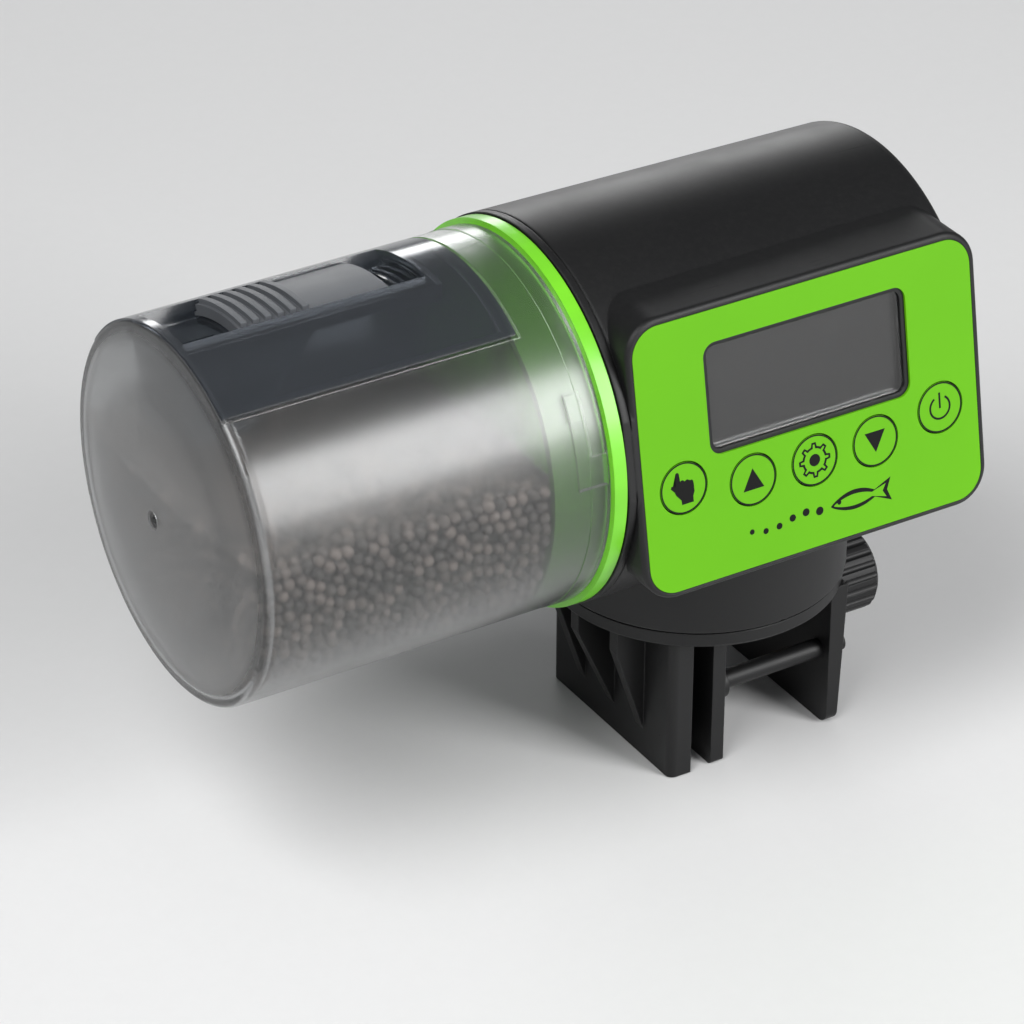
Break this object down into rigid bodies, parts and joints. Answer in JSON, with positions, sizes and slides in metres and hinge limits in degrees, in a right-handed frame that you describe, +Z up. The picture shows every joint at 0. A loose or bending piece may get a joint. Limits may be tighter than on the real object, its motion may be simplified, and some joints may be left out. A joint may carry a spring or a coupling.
{
  "type": "automatic fish feeder",
  "caption": "Rim-clamped automatic fish feeder with a turning food drum, sliding feed gate, tilted key panel and swivelling screw clamp.",
  "frame": {"origin": "where the swivel axis meets the seat plane, the underside of the clamp disc that rests on a tank's rim", "axes": "+Z up along the swivel axis; X along the drum's axis with the food drum at -X; the key panel faces -Y"},
  "size_m": [0.1507, 0.0766, 0.1122],
  "materials": {
    "housing_black": "fine textured ABS",
    "clamp_black": "fine textured ABS",
    "knob_black": "fine textured ABS",
    "drum_frost": "frosted clear plastic",
    "lid_smoke": "smoked clear plastic",
    "gate_grey": "satin dark grey",
    "hub_green": "satin green",
    "panel_green": "printed film",
    "button_green": "printed film",
    "lcd_glass": "dark tinted lens",
    "lcd_grey": "liquid crystal cell",
    "board_green": "solder mask",
    "chip_black": "moulded epoxy",
    "gear_white": "acetal",
    "steel": "zinc plated",
    "brass": "turned",
    "magnet": "nickel plated",
    "inner_black": "fine textured ABS",
    "cell_wrap": "printed sleeve"
  },
  "bodies": {
    "clamp": {"clamp_bracket": "clamp_black", "clamp_nut": "brass", "swivel_washer": "steel", "swivel_screw": "steel"},
    "jaw": {"jaw_plate": "clamp_black", "guide_rods": "clamp_black"},
    "screw": {"clamp_screw": "steel", "screw_clip": "steel", "clamp_knob": "knob_black"},
    "housing": {"end_cap": "housing_black", "main_housing": "housing_black", "rear_cover": "housing_black", "cover_screws": "steel", "battery_tray": "inner_black", "aa_cells": "cell_wrap", "battery_contacts": "steel", "gearbox_plate": "inner_black", "gearbox_screws": "steel", "gear_axles": "steel", "motor_can": "steel", "motor_cap": "inner_black", "motor_screws": "steel", "shaft_bush": "brass", "home_sensor": "chip_black", "panel_overlay": "panel_green", "lcd_window": "lcd_glass", "lcd_module": "lcd_grey", "control_board": "board_green", "board_parts": "chip_black", "board_screws": "steel", "tact_switches": "chip_black"},
    "door": {"battery_door": "housing_black"},
    "hub": {"drive_hub": "hub_green", "output_shaft": "steel", "output_gear": "gear_white", "hub_screw": "steel", "home_magnet": "magnet"},
    "idler_3": {"third_gear": "gear_white"},
    "idler_2": {"second_gear": "gear_white"},
    "idler_1": {"first_gear": "gear_white"},
    "rotor": {"motor_shaft": "steel", "motor_pinion": "brass"},
    "drum": {"drum_barrel": "drum_frost"},
    "lid": {"drum_lid": "lid_smoke", "feed_chute": "lid_smoke"},
    "gate": {"gate_slider": "gate_grey"},
    "key_feed": {"button_feed": "button_green"},
    "key_up": {"button_up": "button_green"},
    "key_set": {"button_set": "button_green"},
    "key_down": {"button_down": "button_green"},
    "key_power": {"button_power": "button_green"}
  },
  "joints": [
    {"name": "swivel", "type": "hinge", "parent": "clamp", "child": "housing", "pos_m": [0, 0, 0], "axis": [0, 0, 1], "continuous": true},
    {"name": "jaw_slide", "type": "slide", "parent": "clamp", "child": "jaw", "axis": [1, 0, 0], "range_m": [-0.0033, 0.0128]},
    {"name": "knob_turn", "type": "hinge", "parent": "jaw", "child": "screw", "pos_m": [0, 0, -0.0118], "axis": [1, 0, 0], "range_deg": [-590, 2300]},
    {"name": "hub_spin", "type": "hinge", "parent": "housing", "child": "hub", "pos_m": [0, 0, 0.0455], "axis": [1, 0, 0], "continuous": true},
    {"name": "third_gear_spin", "type": "hinge", "parent": "housing", "child": "idler_3", "pos_m": [0, 0.0066, 0.05693], "axis": [1, 0, 0], "continuous": true},
    {"name": "second_gear_spin", "type": "hinge", "parent": "housing", "child": "idler_2", "pos_m": [0, -0.0066, 0.05693], "axis": [1, 0, 0], "continuous": true},
    {"name": "first_gear_spin", "type": "hinge", "parent": "housing", "child": "idler_1", "pos_m": [0, -0.0132, 0.0455], "axis": [1, 0, 0], "continuous": true},
    {"name": "motor_spin", "type": "hinge", "parent": "housing", "child": "rotor", "pos_m": [0, -0.0066, 0.03407], "axis": [1, 0, 0], "continuous": true},
    {"name": "drum_twist", "type": "hinge", "parent": "hub", "child": "drum", "pos_m": [0, 0, 0.0455], "axis": [1, 0, 0], "range_deg": [-20, 0]},
    {"name": "lid_lift", "type": "slide", "parent": "drum", "child": "lid", "axis": [0, 0.1564, 0.9877], "range_m": [0, 0.03]},
    {"name": "gate_slide", "type": "slide", "parent": "lid", "child": "gate", "axis": [1, 0, 0], "range_m": [-0.0108, 0.0065]},
    {"name": "battery_door_off", "type": "slide", "parent": "housing", "child": "door", "axis": [0, 1, 0], "range_m": [0, 0.015]},
    {"name": "press_feed", "type": "slide", "parent": "housing", "child": "key_feed", "axis": [0, 0.9831, -0.1833], "range_m": [0, 0.0004], "stiffness_N_per_m": 1500},
    {"name": "press_up", "type": "slide", "parent": "housing", "child": "key_up", "axis": [0, 0.9831, -0.1833], "range_m": [0, 0.0004], "stiffness_N_per_m": 1500},
    {"name": "press_set", "type": "slide", "parent": "housing", "child": "key_set", "axis": [0, 0.9831, -0.1833], "range_m": [0, 0.0004], "stiffness_N_per_m": 1500},
    {"name": "press_down", "type": "slide", "parent": "housing", "child": "key_down", "axis": [0, 0.9831, -0.1833], "range_m": [0, 0.0004], "stiffness_N_per_m": 1500},
    {"name": "press_power", "type": "slide", "parent": "housing", "child": "key_power", "axis": [0, 0.9831, -0.1833], "range_m": [0, 0.0004], "stiffness_N_per_m": 1500}
  ],
  "couplings": [
    {"joint": "jaw_slide", "follows": "knob_turn", "m_per_rad": 0.00031831},
    {"joint": "third_gear_spin", "follows": "hub_spin", "ratio": -3},
    {"joint": "second_gear_spin", "follows": "hub_spin", "ratio": 9},
    {"joint": "first_gear_spin", "follows": "hub_spin", "ratio": -27},
    {"joint": "motor_spin", "follows": "hub_spin", "ratio": 81}
  ]
}
